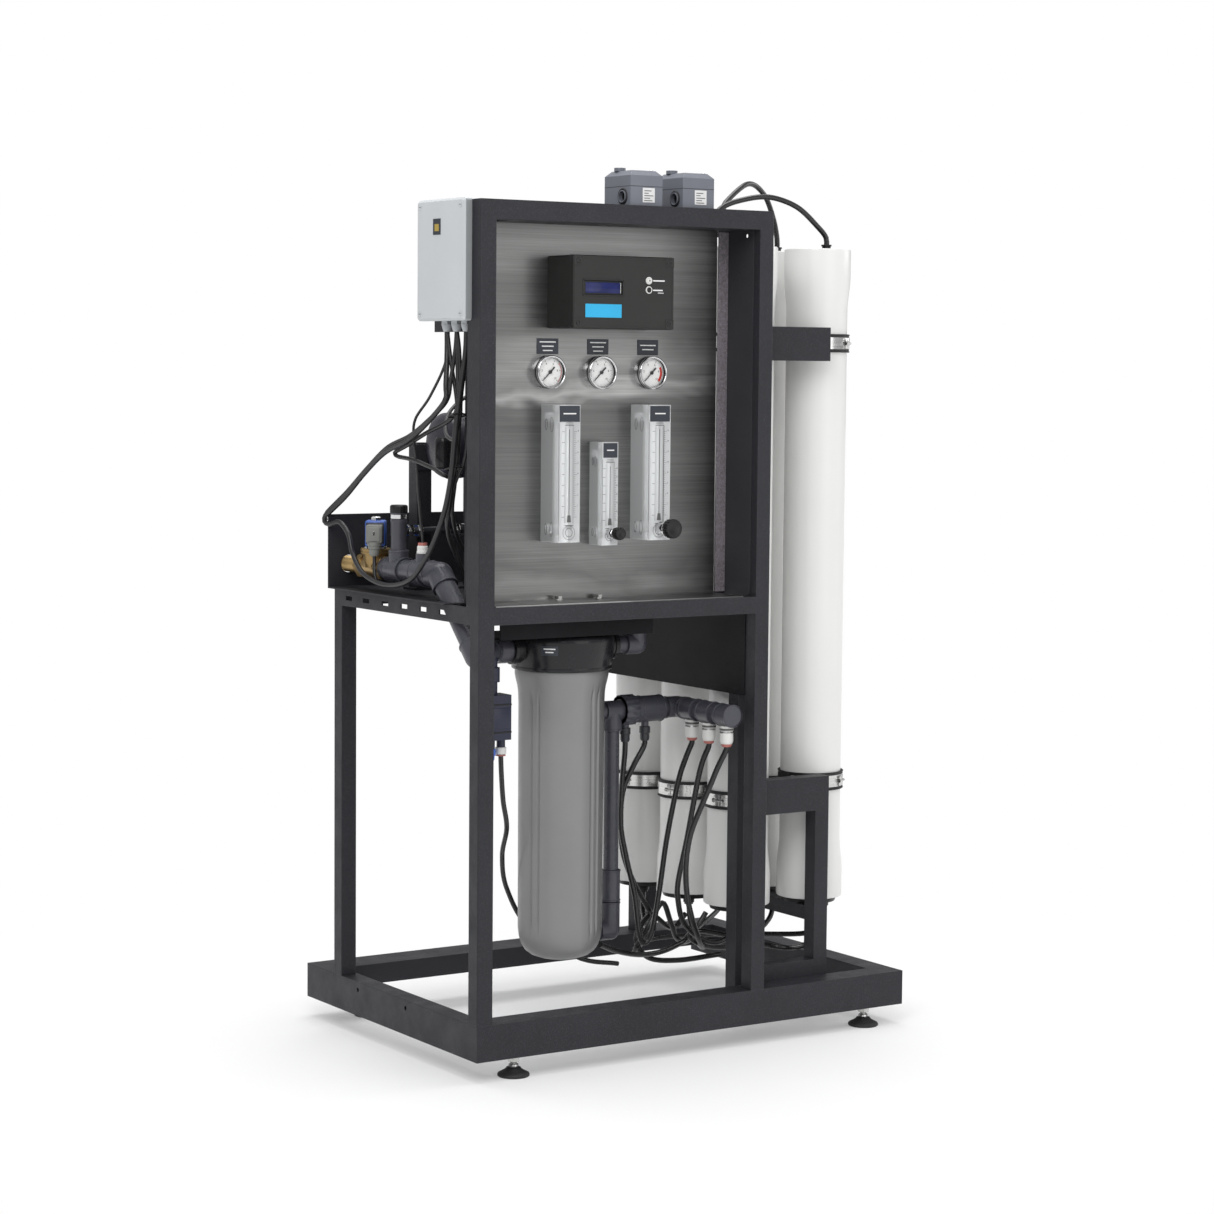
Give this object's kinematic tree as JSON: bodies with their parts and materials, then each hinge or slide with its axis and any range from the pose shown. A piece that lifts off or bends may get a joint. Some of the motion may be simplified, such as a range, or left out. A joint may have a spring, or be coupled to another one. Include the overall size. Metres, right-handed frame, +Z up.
{
  "type": "reverse osmosis unit",
  "caption": "Floor-standing reverse osmosis water unit: black tube frame, recessed instrument panel with gauges and flow meters, large cartridge filter and white membrane housings",
  "frame": {"origin": "on the floor, under the middle of the whole outline seen from above", "axes": "+Z up, +X to the right seen from the front, +Y from the front towards the back"},
  "size_m": [0.943, 0.638, 1.5688],
  "materials": {
    "powder_coat": "textured powder coat",
    "stainless": "brushed",
    "black_plastic": "moulded",
    "white_shell": "smooth",
    "grey_plastic": "moulded",
    "clear_acrylic": "polished acrylic",
    "motor_paint": "satin paint",
    "brass": "machined",
    "steel": "machined",
    "hose": "extruded hose"
  },
  "bodies": {
    "chassis": {"base_frame": "powder_coat", "controller_display": "black_plastic", "controller_housing": "grey_plastic", "controller_lid": "grey_plastic", "electrical_box": "grey_plastic", "electrical_box_cover": "grey_plastic", "fan_cover": "black_plastic", "fasteners": "stainless", "feed_manifold": "grey_plastic", "filter_bracket": "powder_coat", "filter_cartridge": "white_shell", "filter_head": "black_plastic", "flow_meter_bodies": "clear_acrylic", "flow_meter_fittings": "grey_plastic", "flush_valve": "black_plastic", "gauge_cases": "stainless", "gauge_dials": "white_shell", "gauge_lenses": "clear_acrylic", "housing_clamps": "stainless", "housing_end_caps": "black_plastic", "inlet_fittings": "grey_plastic", "inlet_pipe": "grey_plastic", "instrument_panel": "stainless", "manifold_hoses": "hose", "membrane_elements": "white_shell", "membrane_housings": "white_shell", "motor_housing": "motor_paint", "motor_stand": "powder_coat", "pressure_switches": "grey_plastic", "pump_deck": "powder_coat", "pump_housing": "brass", "pump_pipes": "grey_plastic", "quick_fittings": "white_shell", "recess_housing": "powder_coat", "side_plate_right": "powder_coat", "solenoid_coil": "black_plastic", "solenoid_valve_body": "brass", "upright_frame": "powder_coat", "vessel_hoses": "hose", "vessel_rack": "powder_coat"},
    "adjusting_cap_1_body": {"adjusting_cap_1": "black_plastic"},
    "adjusting_cap_2_body": {"adjusting_cap_2": "black_plastic"},
    "button_start_body": {"button_start": "black_plastic"},
    "button_stop_body": {"button_stop": "black_plastic"},
    "filter_relief_button_body": {"filter_relief_button": "grey_plastic"},
    "filter_sump_body": {"filter_sump": "grey_plastic"},
    "flow_float_1_body": {"flow_float_1": "steel"},
    "flow_float_2_body": {"flow_float_2": "steel"},
    "flow_float_3_body": {"flow_float_3": "steel"},
    "flow_knob_2_body": {"flow_knob_2": "black_plastic"},
    "flow_knob_3_body": {"flow_knob_3": "black_plastic"},
    "foot_front_left_body": {"foot_front_left": "black_plastic"},
    "foot_front_right_body": {"foot_front_right": "black_plastic"},
    "foot_rear_left_body": {"foot_rear_left": "black_plastic"},
    "foot_rear_right_body": {"foot_rear_right": "black_plastic"},
    "gauge_needle_1_body": {"gauge_needle_1": "black_plastic"},
    "gauge_needle_2_body": {"gauge_needle_2": "black_plastic"},
    "gauge_needle_3_body": {"gauge_needle_3": "black_plastic"},
    "rotor_shaft_body": {"rotor_shaft": "steel"},
    "solenoid_plunger_body": {"solenoid_plunger": "steel"}
  },
  "joints": [
    {"name": "foot_front_left_turn", "type": "hinge", "parent": "chassis", "child": "foot_front_left_body", "pos_m": [-0.365, -0.284, 0.037], "axis": [0, 0, 1], "continuous": true},
    {"name": "foot_front_right_turn", "type": "hinge", "parent": "chassis", "child": "foot_front_right_body", "pos_m": [0.397, -0.284, 0.037], "axis": [0, 0, 1], "continuous": true},
    {"name": "foot_rear_left_turn", "type": "hinge", "parent": "chassis", "child": "foot_rear_left_body", "pos_m": [-0.353, 0.261, 0.037], "axis": [0, 0, 1], "continuous": true},
    {"name": "foot_rear_right_turn", "type": "hinge", "parent": "chassis", "child": "foot_rear_right_body", "pos_m": [0.446, 0.151, 0.037], "axis": [0, 0, 1], "continuous": true},
    {"name": "gauge_needle_1_turn", "type": "hinge", "parent": "chassis", "child": "gauge_needle_1_body", "pos_m": [-0.264, -0.232, 1.21], "axis": [0, 1, 0], "range_deg": [0, 270]},
    {"name": "gauge_needle_2_turn", "type": "hinge", "parent": "chassis", "child": "gauge_needle_2_body", "pos_m": [-0.1585, -0.232, 1.21], "axis": [0, 1, 0], "range_deg": [0, 270]},
    {"name": "gauge_needle_3_turn", "type": "hinge", "parent": "chassis", "child": "gauge_needle_3_body", "pos_m": [-0.053, -0.232, 1.21], "axis": [0, 1, 0], "range_deg": [0, 270]},
    {"name": "flow_float_1_slide", "type": "slide", "parent": "chassis", "child": "flow_float_1_body", "axis": [0, 0, 1], "range_m": [0, 0.13]},
    {"name": "flow_float_2_slide", "type": "slide", "parent": "chassis", "child": "flow_float_2_body", "axis": [0, 0, 1], "range_m": [0, 0.08]},
    {"name": "flow_float_3_slide", "type": "slide", "parent": "chassis", "child": "flow_float_3_body", "axis": [0, 0, 1], "range_m": [0, 0.13]},
    {"name": "flow_knob_2_turn", "type": "hinge", "parent": "chassis", "child": "flow_knob_2_body", "pos_m": [-0.1565, -0.269, 0.931], "axis": [0, -1, 0], "range_deg": [0, 1080]},
    {"name": "flow_knob_3_turn", "type": "hinge", "parent": "chassis", "child": "flow_knob_3_body", "pos_m": [-0.064, -0.309, 0.939], "axis": [0, -1, 0], "range_deg": [0, 1080]},
    {"name": "button_start_slide", "type": "slide", "parent": "chassis", "child": "button_start_body", "axis": [0, 1, 0], "range_m": [0, 0.0015], "stiffness_N_per_m": 15},
    {"name": "button_stop_slide", "type": "slide", "parent": "chassis", "child": "button_stop_body", "axis": [0, 1, 0], "range_m": [0, 0.0015], "stiffness_N_per_m": 15},
    {"name": "adjusting_cap_1_turn", "type": "hinge", "parent": "chassis", "child": "adjusting_cap_1_body", "pos_m": [-0.1345, -0.242, 1.558], "axis": [0, 0, 1], "range_deg": [-180, 180]},
    {"name": "adjusting_cap_2_turn", "type": "hinge", "parent": "chassis", "child": "adjusting_cap_2_body", "pos_m": [-0.0255, -0.242, 1.558], "axis": [0, 0, 1], "range_deg": [-180, 180]},
    {"name": "rotor_shaft_turn", "type": "hinge", "parent": "chassis", "child": "rotor_shaft_body", "pos_m": [-0.215, 0.011, 1.078], "axis": [1, 0, 0], "continuous": true},
    {"name": "solenoid_plunger_slide", "type": "slide", "parent": "chassis", "child": "solenoid_plunger_body", "axis": [0, 0, 1], "range_m": [0, 0.01], "stiffness_N_per_m": 400},
    {"name": "filter_sump_turn", "type": "hinge", "parent": "chassis", "child": "filter_sump_body", "pos_m": [-0.21, -0.184, 0.687], "axis": [0, 0, 1], "range_deg": [0, 350]},
    {"name": "filter_relief_button_slide", "type": "slide", "parent": "chassis", "child": "filter_relief_button_body", "axis": [0, 0, -1], "range_m": [0, 0.003], "stiffness_N_per_m": 900}
  ]
}
